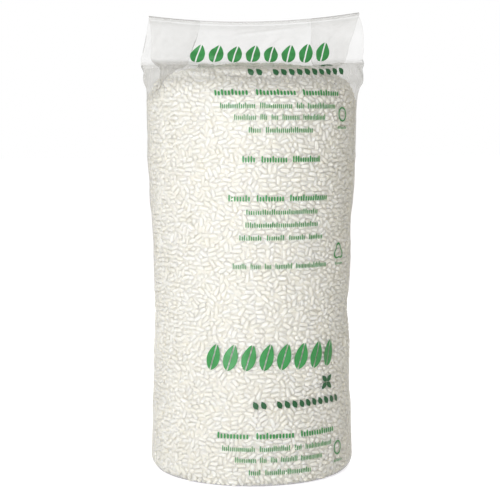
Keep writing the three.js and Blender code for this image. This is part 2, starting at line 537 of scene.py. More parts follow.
def film_material(name, haze, edge_haze):
    made, tree, shader = material(name)
    grain = add_grain(tree, shader, patch=9.0, pit=90.0, stretch=(3.0, 3.0, 0.7), bump=0.0008)
    two_tones(tree, shader, grain.outputs["Mask"], (0.47, 0.465, 0.45), (0.53, 0.526, 0.515))
    rough = math_node(tree, "MULTIPLY_ADD", grain.outputs["Mask"], 0.14, 0.18)
    tree.links.new(rough, shader.inputs["Roughness"])
    shader.inputs["IOR"].default_value = 1.52
    shader.inputs["Specular IOR Level"].default_value = 1.0
    weight = tree.nodes.new("ShaderNodeLayerWeight")
    weight.inputs["Blend"].default_value = 0.5
    edge = math_node(tree, "POWER", weight.outputs["Facing"], 3.0)
    edge = math_node(tree, "MULTIPLY", edge, edge_haze)
    patchy = math_node(tree, "MULTIPLY_ADD", grain.outputs["Mask"], 0.05, haze)
    # The cloud number raises the alpha of the grey film: haze off the load, and painted shade on
    # the band under the crease.
    cloud = tree.nodes.new("ShaderNodeAttribute")
    cloud.attribute_name = "cloud"
    cloudy = math_node(tree, "MULTIPLY_ADD", cloud.outputs["Fac"], HAZE_AND_PAINTED_SHADE, patchy)
    alpha = math_node(tree, "ADD", edge, cloudy)
    alpha.node.use_clamp = True
    tree.links.new(alpha, shader.inputs["Alpha"])
    return made


# %% Foam
def foam_material():
    made, tree, shader = material("starch_foam")
    grain = add_grain(tree, shader, patch=60.0, pit=520.0, stretch=(1, 1, 1), bump=0.0006)
    base = two_tones(tree, shader, grain.outputs["Mask"], (0.92, 0.90, 0.86), (0.95, 0.935, 0.90))
    tone = tree.nodes.new("ShaderNodeAttribute")
    tone.attribute_name = "tone"
    tint = colour_mix(tree)
    tint.blend_type = "MULTIPLY"
    tint.inputs[0].default_value = 1.0
    shade = colour_mix(tree, (0.95, 0.935, 0.89), (1, 1, 1))
    tree.links.new(tone.outputs["Fac"], shade.inputs[0])
    tree.links.new(base.outputs[2], tint.inputs[6])
    tree.links.new(shade.outputs[2], tint.inputs[7])
    tree.links.new(tint.outputs[2], shader.inputs["Base Color"])
    rough = math_node(tree, "MULTIPLY_ADD", grain.outputs["Mask"], 0.15, 0.75)
    tree.links.new(rough, shader.inputs["Roughness"])
    shader.inputs["Specular IOR Level"].default_value = 0.3
    shader.inputs["Subsurface Weight"].default_value = 0.8
    shader.inputs["Subsurface Radius"].default_value = (0.014, 0.0135, 0.012)
    shader.inputs["Subsurface Scale"].default_value = 1.0
    return made


# %% Ink
def ink_material(name, first, second):
    made, tree, shader = material(name)
    grain = add_grain(tree, shader, patch=45.0, pit=700.0, stretch=(1, 1, 1), bump=0.0001)
    two_tones(tree, shader, grain.outputs["Mask"], first, second)
    rough = math_node(tree, "MULTIPLY_ADD", grain.outputs["Mask"], 0.15, 0.32)
    tree.links.new(rough, shader.inputs["Roughness"])
    return made


clear_film = film_material("clear_film", haze=0.15, edge_haze=0.45)
weld_film = film_material("weld_film", haze=0.22, edge_haze=0.40)
starch_foam = foam_material()
leaf_green = ink_material("leaf_green", (0.024, 0.20, 0.048), (0.036, 0.26, 0.070))
dark_green = ink_material("dark_green", (0.007, 0.070, 0.022), (0.011, 0.095, 0.032))
print("finishes", [made.name for made in bpy.data.materials])


# %% [markdown]
# The film is now made from its points. Film looks cloudier where it stands off the load
# than where it lies on it, and that cloud also greys the band under the crease as painted
# shade, so each point also carries a number that the finish reads.


# %% The film as a mesh
def haze_and_painted_shade():
    """How much cloudier the film looks than over the body: off the load, where the extra cloud is
    also painted shade on the band under the crease, and above it.
    """
    height = smooth_film[..., 2]
    # Off the load, below where the film leaves it: haze, and painted shade greying that band.
    off_load = smooth_step(1.272, 1.312, height) * (1 - smooth_step(1.352, 1.375, height))
    return off_load - 0.45 * smooth_step(1.365, 1.385, height)


def film_piece():
    rows = len(film_grid)
    points = film_grid.reshape(-1, 3)
    faces = film_faces(rows)
    centre = len(points)
    points = np.vstack([points, [(0, 0, 0)]])
    ring = np.arange(RING)
    fan = [(centre, int(b), int(a)) for a, b in zip(ring, np.roll(ring, -1))]
    piece = mesh_object("film", points, [tuple(f) for f in faces] + fan, clear_film)
    cloud = np.append(haze_and_painted_shade().ravel(), 0).astype(np.float32)
    piece.data.attributes.new("cloud", "FLOAT", "POINT").data.foreach_set("value", cloud)
    drop_loose(piece.data)
    return piece


film = film_piece()
print("film", len(film.data.polygons), "faces")

# %% [markdown]
# ## The peanuts
#
# Each peanut is a short rod of puffed starch. Blender's rigid bodies could drop thousands
# of them into the bag, but slowly, and most would never be seen. Here only the outer layer
# is made and settled: every peanut is three balls on a stiff line, and balls that overlap
# push each other apart while the film keeps them in.

# %% The surface of the load
FOAM_LENGTH = 0.031
FOAM_THICKNESS = 0.0145
BALL = FOAM_THICKNESS / 2
SPACING = (FOAM_LENGTH - FOAM_THICKNESS) / 2
FLOOR_GAP = 0.002
DOME = np.array(  # radius, height of the load's top
    [
        (0.0, 1.371),
        (0.10, 1.367),
        (0.18, 1.358),
        (0.25, 1.342),
        (0.30, 1.322),
        (0.333, 1.292),
        (0.348, 1.250),
    ]
)


def load_outline():
    """Dense (radius, height) points up the load's outside, from under the base edge."""
    foot = BODY[0, 1] - BASE_EDGE
    angles = np.linspace(0, math.pi / 2, 20, endpoint=False)
    edge = np.stack(
        [foot + BASE_EDGE * np.sin(angles), BASE_EDGE * (1 - np.cos(angles))], axis=1
    )
    heights = np.linspace(BASE_EDGE, DOME[-1, 1], 200, endpoint=False)
    body = np.stack([smooth_curve(heights, BODY), heights], axis=1)
    radii = np.linspace(DOME[-1, 0], 0, 120)
    top = np.stack([radii, smooth_curve(radii, DOME)], axis=1)
    return np.concatenate([edge, body, top])


LOAD = load_outline()
GONE = np.concatenate([[0], np.cumsum(np.hypot(*np.diff(LOAD, axis=0).T))])


def load_point(distance):
    """(radius, height) and the outward (radial, up) normal at a distance up the load."""
    radius = np.interp(distance, GONE, LOAD[:, 0])
    height = np.interp(distance, GONE, LOAD[:, 1])
    reach = 0.01
    before = [np.interp(distance - reach, GONE, column) for column in LOAD.T]
    after = [np.interp(distance + reach, GONE, column) for column in LOAD.T]
    run, rise = after[0] - before[0], after[1] - before[1]
    length = np.maximum(np.hypot(run, rise), 1e-9)
    return radius, height, rise / length, -run / length


GRID = 0.004


def depth_table():
    """Signed depth under the load's outside on a (radius, height) grid."""
    radii = np.arange(0, 0.40, GRID)
    heights = np.arange(-0.02, 1.42, GRID)
    r, z = np.meshgrid(radii, heights, indexing="ij")
    best = np.full(r.shape, 9.0)
    for gone in np.arange(0, GONE[-1], 0.004):
        radius, height, out, up = load_point(gone)
        away = np.hypot(r - radius, z - height)
        signed = np.where((r - radius) * out + (z - height) * up > 0, -away, away)
        best = np.where(away < np.abs(best), signed, best)
    return best


DEPTH = depth_table()


def film_reach():
    """Nearest film in each direction at each height, for the rows over the shoulder."""
    rows = np.flatnonzero(smooth_film[:, 0, 2] > SHOULDER - 0.01)
    bins = 120
    reach = np.full((len(rows), bins), 9.0)
    for k, row in enumerate(rows):
        x, y = smooth_film[row, :, 0], smooth_film[row, :, 1]
        turn = ((np.arctan2(y, x) / (2 * math.pi)) % 1 * bins).astype(int) % bins
        np.minimum.at(reach[k], turn, np.hypot(x, y))
    return smooth_film[rows, 0, 2], reach


REACH_HEIGHTS, REACH = film_reach()


def look_up(table, r, z):
    x = np.clip(r / GRID, 0, table.shape[0] - 1.001)
    y = np.clip((z + 0.02) / GRID, 0, table.shape[1] - 1.001)
    i, j = x.astype(int), y.astype(int)
    s, t = x - i, y - j
    low = table[i, j] * (1 - s) + table[i + 1, j] * s
    high = table[i, j + 1] * (1 - s) + table[i + 1, j + 1] * s
    return low * (1 - t) + high * t


def depth_in_load(points):
    """Depth below the load's outside, and the inward direction."""
    r = np.hypot(points[:, 0], points[:, 1])
    z = points[:, 2]
    depth = look_up(DEPTH, r, z)
    across = (look_up(DEPTH, r + GRID, z) - look_up(DEPTH, np.abs(r - GRID), z)) / (2 * GRID)
    up = (look_up(DEPTH, r, z + GRID) - look_up(DEPTH, r, z - GRID)) / (2 * GRID)
    length = np.maximum(np.hypot(across, up), 1e-6)
    side = points[:, :2] / np.maximum(r, 1e-6)[:, None]
    inward = np.column_stack([side * (across / length)[:, None], up / length])
    bins = REACH.shape[1]
    turn = ((np.arctan2(points[:, 1], points[:, 0]) / (2 * math.pi)) % 1 * bins).astype(int)
    row = np.clip(np.searchsorted(REACH_HEIGHTS, z), 0, len(REACH_HEIGHTS) - 1)
    limit = np.where(z > SHOULDER, REACH[row, turn % bins] - r, 9.0)
    crowded = limit < depth
    depth = np.where(crowded, limit, depth)
    inward[crowded] = np.column_stack([-side[crowded], np.zeros(crowded.sum())])
    return depth + lumps(points), inward


# %% Settling the peanuts
ROW_GAP, FOOT_PRINT = 0.0150, 0.0275  # between rows, and between peanuts in a row
STANDING = 0.14  # share of peanuts that point out of their row
PUSH, PULL = 0.45, 0.12  # how strongly balls part, and how strongly film holds them
FARTHEST = 0.3 * BALL  # most that a ball moves in one round
WALL_GAP = 0.0015


def close_pairs(points, reach):
    """All pairs of points nearer than reach, found by sorting them into cells."""
    cell = np.floor(points / reach).astype(np.int64) + 512
    key = (cell[:, 0] << 40) | (cell[:, 1] << 20) | cell[:, 2]
    order = np.argsort(key, kind="stable")
    key = key[order]
    spots = points[order]
    first, second = [], []
    for dx, dy, dz in itertools.product((-1, 0, 1), repeat=3):
        if (dx, dy, dz) < (0, 0, 0):
            continue
        wanted = key + (dx << 40) + (dy << 20) + dz
        start = np.searchsorted(key, wanted, side="left")
        stop = np.searchsorted(key, wanted, side="right")
        if (dx, dy, dz) == (0, 0, 0):
            start = np.arange(len(key)) + 1
        for k in range(int((stop - start).max(initial=0))):
            mine = np.flatnonzero(start + k < stop)
            theirs = start[mine] + k
            near = ((spots[mine] - spots[theirs]) ** 2).sum(1) < reach * reach
            first.append(order[mine[near]])
            second.append(order[theirs[near]])
    return np.concatenate(first), np.concatenate(second)


def scattered(draw):
    """First places and directions of the peanuts: loose rows round the load."""
    places, lines = [], []
    for gone in np.arange(0.012, GONE[-1] - 0.02, ROW_GAP):
        radius, height, out, up = load_point(gone)
        count = max(int(2 * math.pi * radius / FOOT_PRINT), 3)
        turn = (np.arange(count) + draw.uniform()) * 2 * math.pi / count
        turn = turn + draw.normal(0, 0.2 * FOOT_PRINT / max(radius, 0.05), count)
        side = np.column_stack([np.cos(turn), np.sin(turn), 0 * turn])
        normal = side * (out, out, 0) + (0, 0, up)
        across = np.column_stack([-np.sin(turn), np.cos(turn), 0 * turn])
        along = np.cross(normal, across)
        spin = draw.uniform(0, 2 * math.pi, count)[:, None]
        tilt = np.where(draw.uniform(size=count) < STANDING, 1.2, 0.22)
        lean = draw.normal(0, 1, count) * tilt
        line = across * np.cos(spin) + along * np.sin(spin) + normal * lean[:, None]
        line /= np.linalg.norm(line, axis=1, keepdims=True)
        place = side * (radius, radius, 0) + (0, 0, height)
        place = place - normal * (BALL + draw.uniform(0.001, 0.010, count))[:, None]
        places.append(place)
        lines.append(line)
    return np.concatenate(places), np.concatenate(lines)


def settled(rounds):
    draw = np.random.default_rng(11)
    place, line = scattered(draw)
    count = len(place)
    offsets = np.array([-1, 0, 1]) * SPACING
    owner = np.repeat(np.arange(count), 3)
    wish = BALL + 0.0022 + draw.uniform(0, 1, count) ** 2 * 0.005
    for _ in range(rounds):
        balls = (place[:, None] + line[:, None] * offsets[:, None]).reshape(-1, 3)
        a, b = close_pairs(balls, 2 * BALL)
        other = owner[a] != owner[b]
        a, b = a[other], b[other]
        apart = balls[a] - balls[b]
        length = np.maximum(np.linalg.norm(apart, axis=1), 1e-5)
        push = apart * (PUSH * (2 * BALL - length) / length)[:, None]
        move = np.zeros_like(balls)
        for axis in range(3):
            move[:, axis] += np.bincount(a, push[:, axis], len(balls))
            move[:, axis] -= np.bincount(b, push[:, axis], len(balls))
        limit = np.linalg.norm(move, axis=1, keepdims=True)
        move *= np.minimum(1, FARTHEST / np.maximum(limit, 1e-9))
        balls += move
        depth, inward = depth_in_load(balls)
        short = np.maximum(BALL + WALL_GAP - depth, 0)
        balls += inward * short[:, None]
        balls = balls.reshape(-1, 3, 3)
        place = balls.mean(1)
        depth, inward = depth_in_load(place)
        place -= inward * (PULL * (depth - wish))[:, None]
        line = balls[:, 2] - balls[:, 0]
        line /= np.linalg.norm(line, axis=1, keepdims=True)
    reach = np.abs(line[:, 2]) * FOAM_LENGTH / 2 + BALL + FLOOR_GAP
    place[:, 2] = np.maximum(place[:, 2], reach)
    return place, line, inward


foam_places, foam_lines, foam_inward = settled(45)
print(len(foam_places), "peanuts settled")

# %% [markdown]
# The load was settled inside the smooth film. Over the shoulder the creases and folds
# reach deeper, so each peanut there is checked against the finished film and moved in
# until it is clear of it.

# %% Clear of the wrinkled film
SKIN_GAP = 0.0010
skin = BVHTree.FromObject(film, bpy.context.evaluated_depsgraph_get())


def overlap(ball, radius):
    """How far a ball reaches past the film, and the film's normal there."""
    spot, normal, _, _ = skin.find_nearest(ball)
    return (ball - spot).dot(normal) + radius + SKIN_GAP, normal


def kept_inside(centre, line):
    """A place for the peanut clear of the film, or None where there is no room."""
    for _ in range(5):
        balls = [centre + line * (part * SPACING) for part in (-1, 0, 1)]
        worst, normal = max((overlap(ball, BALL) for ball in balls), key=lambda found: found[0])
        if worst <= 0.0005:
            return centre
        centre = centre - normal * worst
    return None


def clear_of_film(places, lines):
    keep = np.ones(len(places), bool)
    for k in np.flatnonzero(places[:, 2] > SHOULDER - 0.06):
        centre = kept_inside(Vector(places[k]), Vector(lines[k]))
        if centre is None:
            keep[k] = False
        else:
            places[k] = centre
    return keep


room = clear_of_film(foam_places, foam_lines)
foam_places, foam_lines, foam_inward = foam_places[room], foam_lines[room], foam_inward[room]
print(len(foam_places), "peanuts kept,", (~room).sum(), "had no room")

# %% [markdown]
# A die cuts the puffed starch as it leaves the press, so no two peanuts are quite alike.
# Four shapes are enough to hide the repeat: straight, curved, wavy and stubby. Each has
# only a few dozen faces, because there are thousands of them. Geometry Nodes then set one
# of the four on each settled spot, with its own turn, size and tone.


# %% Peanut shapes
def peanut_shape(name, bend, twist, waist):
    """A unit peanut along X: length 1, thickness 1, bent into a C or an S."""
    along = np.array([-0.47, -0.30, 0.0, 0.30, 0.47])
    girth = np.array([0.62, 1.0, waist, 1.0, 0.62]) / 2
    sides = 7
    points = []
    for x, r in zip(along, girth):
        shift = bend * (0.25 - x * x) + twist * math.sin(2 * math.pi * x)
        for k in range(sides):
            a = 2 * math.pi * k / sides
            points.append((x, shift + r * math.cos(a), r * math.sin(a)))
    ends = len(points)
    points.append((-0.5, 0.02 * bend, 0))
    points.append((0.5, 0.02 * bend, 0))
    faces = []
    for ring, k in itertools.product(range(4), range(sides)):
        a, b = ring * sides + k, ring * sides + (k + 1) % sides
        faces.append((a, a + sides, b + sides, b))
    for k in range(sides):
        after = (k + 1) % sides
        faces.append((ends, k, after))
        faces.append((ends + 1, 4 * sides + after, 4 * sides + k))
    shape = mesh_object(name, points, faces, starch_foam)
    shape.hide_render = True
    shape.hide_viewport = True
    return shape


shapes = [
    peanut_shape("peanut_straight", 0.0, 0.0, 0.86),
    peanut_shape("peanut_curved", 0.9, 0.0, 0.95),
    peanut_shape("peanut_wavy", 0.2, 0.16, 0.92),
    peanut_shape("peanut_stubby", 0.4, 0.0, 1.04),
]


# %% Peanut tree
def peanut_tree():
    tree = bpy.data.node_groups.new("peanuts", "GeometryNodeTree")
    add_socket(tree, "Geometry", "Geometry")
    length = add_socket(tree, "Peanut length")
    thick = add_socket(tree, "Peanut thickness")
    add_socket(tree, "Geometry", "Geometry", "OUTPUT")
    nodes, links = tree.nodes, tree.links
    given = nodes.new("NodeGroupInput")
    result = nodes.new("NodeGroupOutput")
    join = nodes.new("GeometryNodeJoinGeometry")
    for shape in reversed(shapes):
        info = nodes.new("GeometryNodeObjectInfo")
        info.inputs["Object"].default_value = shape
        info.inputs["As Instance"].default_value = True
        links.new(info.outputs["Geometry"], join.inputs["Geometry"])

    def attribute(name, kind):
        node = nodes.new("GeometryNodeInputNamedAttribute")
        node.data_type = kind
        node.inputs["Name"].default_value = name
        return node.outputs["Attribute"]

    place = nodes.new("GeometryNodeInstanceOnPoints")
    place.inputs["Pick Instance"].default_value = True
    links.new(given.outputs["Geometry"], place.inputs["Points"])
    links.new(join.outputs["Geometry"], place.inputs["Instance"])
    links.new(attribute("kind", "INT"), place.inputs["Instance Index"])
    turn = nodes.new("FunctionNodeEulerToRotation")
    links.new(attribute("turn", "FLOAT_VECTOR"), turn.inputs[0])
    links.new(turn.outputs[0], place.inputs["Rotation"])
    size = nodes.new("ShaderNodeCombineXYZ")
    links.new(given.outputs["Peanut length"], size.inputs[0])
    links.new(given.outputs["Peanut thickness"], size.inputs[1])
    links.new(given.outputs["Peanut thickness"], size.inputs[2])
    grown = nodes.new("ShaderNodeVectorMath")
    grown.operation = "SCALE"
    links.new(size.outputs[0], grown.inputs[0])
    links.new(attribute("size", "FLOAT"), grown.inputs["Scale"])
    links.new(grown.outputs[0], place.inputs["Scale"])
    real = nodes.new("GeometryNodeRealizeInstances")
    links.new(place.outputs["Instances"], real.inputs["Geometry"])
    finish = nodes.new("GeometryNodeSetMaterial")
    finish.inputs["Material"].default_value = starch_foam
    links.new(real.outputs["Geometry"], finish.inputs["Geometry"])
    links.new(finish.outputs["Geometry"], result.inputs["Geometry"])
    return tree, {length.identifier: FOAM_LENGTH, thick.identifier: FOAM_THICKNESS}


def made_by_nodes(name, source, tree, values):
    """Run a node tree on an object and keep the result as a plain mesh."""
    modifier = source.modifiers.new(name, "NODES")
    modifier.node_group = tree
    for identifier, value in values.items():
        modifier[identifier] = value
    graph = bpy.context.evaluated_depsgraph_get()
    mesh = bpy.data.meshes.new_from_object(source.evaluated_get(graph))
    mesh.name = name
    bpy.data.objects.remove(source)
    return placed(name, mesh)


def peanut_band(name, chosen, turns, tree, values):
    """The peanuts of one band of the load, as one mesh."""
    draw = np.random.default_rng(5)
    mesh = bpy.data.meshes.new(name + "_spots")
    mesh.from_pydata([tuple(p) for p in foam_places[chosen]], [], [])
    kinds = draw.integers(0, len(shapes), len(foam_places))[chosen]
    sizes = draw.uniform(0.93, 1.06, len(foam_places))[chosen]
    tones = draw.uniform(0, 1, len(foam_places))[chosen]
    mesh.attributes.new("kind", "INT", "POINT").data.foreach_set("value", kinds.astype(np.int32))
    mesh.attributes.new("size", "FLOAT", "POINT").data.foreach_set("value", sizes)
    mesh.attributes.new("tone", "FLOAT", "POINT").data.foreach_set("value", tones)
    mesh.attributes.new("turn", "FLOAT_VECTOR", "POINT").data.foreach_set(
        "vector", turns[chosen].ravel()
    )
    return made_by_nodes(name, placed(name + "_spots", mesh), tree, values)


def peanut_turns():
    draw = np.random.default_rng(3)
    spin = draw.uniform(0, 2 * math.pi, len(foam_lines))
    turns = np.zeros((len(foam_lines), 3))
    for k, (line, inward) in enumerate(zip(foam_lines, foam_inward)):
        x = Vector(line)
        z = x.cross(Vector(inward)).normalized()
        y = z.cross(x)
        turned = Matrix((x, y, z)).transposed() @ Matrix.Rotation(spin[k], 3, "X")
        turns[k] = turned.to_euler()
    return turns


def peanut_pieces():
    tree, values = peanut_tree()
    turns = peanut_turns()
    height = foam_places[:, 2]
    edges = [-1, 0.33, 0.66, 1.0, 2]
    pieces = []
    for k, (low, high) in enumerate(zip(edges, edges[1:])):
        chosen = np.flatnonzero((height >= low) & (height < high))
        pieces.append(peanut_band(f"peanuts_{k + 1}", chosen, turns, tree, values))
    for shape in shapes:
        bpy.data.objects.remove(shape)
    return pieces


peanuts = peanut_pieces()
for piece in peanuts:
    print(piece.name, len(piece.data.polygons), "faces")

# %% [markdown]
# ## The load behind the first layer
#
# Only the outer peanuts can be seen. A real load goes on behind them; filling it with
# thousands more would cost a lot and show nothing. One lumpy closed body of the same foam
# sits just behind the first layer instead, and shows only in the gaps.


# %% The load behind the first layer
CORE_DEPTH, CORE_LUMP = 0.0110, 0.003
CORE_ROW, CORE_AROUND = 0.013, 170
CORE_GAP = 0.008  # least distance from the film's skin
CORE_FLOOR = 0.004


def core_piece():
    rows = np.arange(0.004, GONE[-1] - 0.012, CORE_ROW)
    around = CORE_AROUND
    turn = np.arange(around) * 2 * math.pi / around
    side = np.column_stack([np.cos(turn), np.sin(turn), 0 * turn])
    points = []
    for gone in rows:
        radius, height, out, up = load_point(gone)
        points.append(side * (radius, radius, 0) + (0, 0, height))
    points = np.concatenate(points)
    for _ in range(3):
        depth, inward = depth_in_load(points)
        deep = CORE_DEPTH + CORE_LUMP * noise(points, 0.02, 21)
        points += inward * (deep - depth)[:, None]
    points[:, 2] = np.maximum(points[:, 2], CORE_FLOOR)
    for k in np.flatnonzero(points[:, 2] > SHOULDER - 0.06):
        for _ in range(3):
            over, normal = overlap(Vector(points[k]), CORE_GAP)
            points[k] -= np.array(normal) * max(over, 0)
    ring = np.arange(around)
    faces = []
    for r in range(len(rows) - 1):
        low = r * around + ring
        faces += list(np.stack([low, np.roll(low, -1), np.roll(low, -1) + around, low + around], 1))
    bottom, top = len(points), len(points) + 1
    points = np.vstack([points, (0, 0, CORE_FLOOR), (0, 0, DOME[0, 1] - 0.017)])
    last = (len(rows) - 1) * around
    for a, b in zip(ring, np.roll(ring, -1)):
        faces.append((bottom, b, a))
        faces.append((top, last + a, last + b))
    return mesh_object("peanut_core", points, faces, starch_foam)


core = core_piece()


# %% [markdown]
# ## The print
#
# The ink is green and lies on the outside of the front panel: a row of leaves, a smaller
# dark row under it, and lines of short ticks, all printed twice because the film comes
# off a roll. It could be a texture, but drawn shapes keep sharp edges at any size. Each
# shape is drawn flat in film coordinates, u round the bag and v up its front, and then laid
# on the film, so it bends and wrinkles with it.


# %% Laying flat shapes on the film
INK_LIFT = 0.0008  # how far the ink's outside stands off the film
INK_WALL = 0.0003
RING_STEPS = 36
ORDER = np.argsort(U)


def on_film(u, v, lift):
    """Points just off the film's outside at (u, v)."""
    column = np.interp(u, U[ORDER], np.arange(RING))
    row = np.interp(v, V, np.arange(len(V)))
    i = np.clip(row.astype(int), 0, len(V) - 2)
    j = np.clip(column.astype(int), 0, RING - 2)
    s, t = (row - i)[..., None], (column - j)[..., None]
    found = []
    for table in (film_grid, film_normals):
        low = table[i, ORDER[j]] * (1 - t) + table[i, ORDER[j + 1]] * t
        high = table[i + 1, ORDER[j]] * (1 - t) + table[i + 1, ORDER[j + 1]] * t
        found.append(low * (1 - s) + high * s)
    return found[0] + found[1] * lift


class Print:
    """Printed shapes collected into one thin closed mesh."""

    def __init__(self):
        self.points, self.faces, self.count = [], [], 0

    def patch(self, side_a, side_b, across, closed=False):
        """Fill between two lines of (u, v) points: a thin slab laid on the film."""
        share = np.linspace(0, 1, across + 1)[None, :, None]
        flat = side_a[:, None] * (1 - share) + side_b[:, None] * share
        rows, columns = flat.shape[:2]
        top = on_film(flat[..., 0], flat[..., 1], INK_LIFT).reshape(-1, 3)
        under = on_film(flat[..., 0], flat[..., 1], INK_LIFT - INK_WALL).reshape(-1, 3)
        first, size = self.count, rows * columns
        number = first + np.arange(size).reshape(rows, columns)
        after = np.roll(number, -1, axis=0)
        last = rows if closed else rows - 1
        quads = np.stack(
            [number[:, :-1], number[:, 1:], after[:, 1:], after[:, :-1]], axis=-1
        )[:last].reshape(-1, 4)
        sides = [(number[:, 0], after[:, 0]), (after[:, -1], number[:, -1])]
        walls = [np.stack([a, b, b + size, a + size], -1)[:last] for a, b in sides]
        if not closed:
            start, end = number[0], number[-1]
            for a, b in ((start[1:], start[:-1]), (end[:-1], end[1:])):
                walls.append(np.stack([a, b, b + size, a + size], -1))
        self.points += [top, under]
        self.faces += [quads, quads[:, ::-1] + size, *walls]
        self.count += 2 * size

    def tick(self, u, v, width, height):
        """An upright stroke with round ends, its middle at (u, v)."""
        up = np.linspace(-1, 1, 6)
        half = width / 2 * np.sqrt(np.clip(1 - (np.abs(up) ** 6) * 0.8, 0, 1))
        side = np.stack([u - half, v + up * height / 2], axis=-1)
        other = np.stack([u + half, v + up * height / 2], axis=-1)
        self.patch(other, side, 1)

    def leaf(self, u, v, length, width, lean, slit):
        """Two half blades either side of a bare midrib."""
        steps = max(int(length / 0.005), 5)
        t = np.linspace(0.0, 1, steps)
        blade = width / 2 * np.sin(math.pi * t ** 0.85) ** 0.8 * (1 - slit / width) + slit / 2
        rib = np.full(steps, slit / 2)
        along = (t - 0.5) * length
        turn = np.array([[math.cos(lean), -math.sin(lean)], [math.sin(lean), math.cos(lean)]])
        for side in (1, -1):
            inner = np.stack([side * rib, along], axis=-1) @ turn + (u, v)
            outer = np.stack([side * blade, along], axis=-1) @ turn + (u, v)
            ends = (outer, inner) if side > 0 else (inner, outer)
            self.patch(*ends, max(round(width / 0.012), 2))

    def ring(self, u, v, radius, stroke, corners=0, depth=0.0):
        """An outline: a circle, or a rounded shape with some corners."""
        a = np.linspace(0, 2 * math.pi, RING_STEPS, endpoint=False)
        shape = 1 + depth * np.cos(corners * (a - math.pi / 2))
        unit = np.stack([np.cos(a), np.sin(a)], axis=-1) * shape[:, None]
        outer = unit * radius + (u, v)
        inner = unit * (radius - stroke) + (u, v)
        self.patch(outer, inner, 1, closed=True)

    def line(self, v, start, end, height, words, weight):
        """A row of ticks in groups, with tall and short ones mixed."""
        draw = np.random.default_rng(round(v * 1000))
        pitch = (end - start) / (sum(words) + 2 * (len(words) - 1))
        u = start + pitch / 2
        for word in words:
            for k in range(word):
                tall = 1.0 if k == 0 or draw.uniform() < 0.2 else 0.74
                self.tick(u, v - height * (1 - tall) / 2, pitch * weight, height * tall)
                u += pitch
            u += 2 * pitch

    def piece(self, name, ink):
        points, faces = np.concatenate(self.points), np.concatenate(self.faces)
        return mesh_object(name, points, faces, ink, smooth=False)


# %% [markdown]
# One repeat of the print is laid out here in metres. The first number of each line is its
# height on the film; then where it starts and ends to the left and right of the middle.

# %% Layout of the print
REPEAT = 1.094
LEAVES = 8
LEAF_LINE = (0.445, -0.243, 0.238)  # middle of the row of leaves, its start and end
DARK_LINE = (0.2915, -0.085, 0.262)
DARK_LEAVES, DARK_GAP = 13, 2  # places in the row, and the one left empty
LEAF = (0.088, 0.047, 0.30, 0.0045)  # length, width, lean, bare midrib
DARK_LEAF = (0.029, 0.0185, -0.5, 0.0)
ROSETTE = (0.200, 0.350, 0.0165)  # its middle, and how far out the petals sit
PETALS, PETAL = 4, (0.031, 0.017)
LINES = [  # v, start, end, tick height, ticks in each group, how bold
    (0.194, -0.200, 0.229, 0.021, (10, 12, 14), 0.62),
    (0.152, -0.183, 0.212, 0.019, (17, 16, 4, 18), 0.50),
    (0.116, -0.139, 0.166, 0.019, (12, 4, 4, 10, 15), 0.50),
    (0.076, -0.095, 0.118, 0.019, (6, 24), 0.50),
]
TALL_LINES = [
    (1.078, -0.115, 0.148, 0.021, (5, 10, 12), 0.62),
    (0.955, -0.161, 0.185, 0.021, (8, 10, 16), 0.62),
    (0.911, -0.103, 0.148, 0.018, (34,), 0.50),
    (0.870, -0.106, 0.152, 0.018, (36,), 0.50),
    (0.829, -0.126, 0.173, 0.018, (10, 8, 8, 8), 0.50),
    (0.738, -0.148, 0.193, 0.019, (8, 6, 4, 10, 22), 0.50),
]


def repeat_of_print(green, dark, shift):
    v, start, end = LEAF_LINE
    pitch = (end - start) / LEAVES
    for k in range(LEAVES):
        green.leaf(start + pitch * (k + 0.5), v + shift, *LEAF)
    v, start, end = DARK_LINE
    pitch = (end - start) / DARK_LEAVES
    for k in range(DARK_LEAVES):
        if k != DARK_GAP:
            dark.leaf(start + pitch * (k + 0.5), v + shift, *DARK_LEAF)
    u, v, out = ROSETTE
    for k in range(PETALS):
        a = 2 * math.pi * (k + 0.5) / PETALS
        place = (u + out * math.cos(a), v + shift + out * math.sin(a))
        dark.leaf(*place, *PETAL, math.pi / 2 - a, 0.0)
    for v, *line in LINES:
        green.line(v + shift, *line)
    green.ring(0.252, 0.125 + shift, 0.024, 0.0055)
    green.line(0.083 + shift, 0.226, 0.280, 0.010, (6,), 0.5)


def print_pieces():
    green, dark = Print(), Print()
    repeat_of_print(green, dark, 0)
    repeat_of_print(green, dark, REPEAT)
    for line in TALL_LINES:
        green.line(*line)
    green.ring(0.263, 0.772, 0.025, 0.0055, corners=3, depth=0.22)
    green.line(0.735, 0.240, 0.288, 0.009, (6,), 0.5)
    return green.piece("green_print", leaf_green), dark.piece("dark_print", dark_green)


green_print, dark_print = print_pieces()
print("print", len(green_print.data.polygons), len(dark_print.data.polygons), "faces")

# %% [markdown]
# ## The weld
#
# A heated bar presses the four layers together and leaves a ribbed band along the top.
# The ribs are all alike and follow one line, so Geometry Nodes sets one small rib after
# another along it, at a set pitch.


# %% Weld ribs
RIB = {"Rib pitch": 0.0032, "Rib width": 0.0019, "Rib thickness": 0.0011, "Rib height": 0.0085}


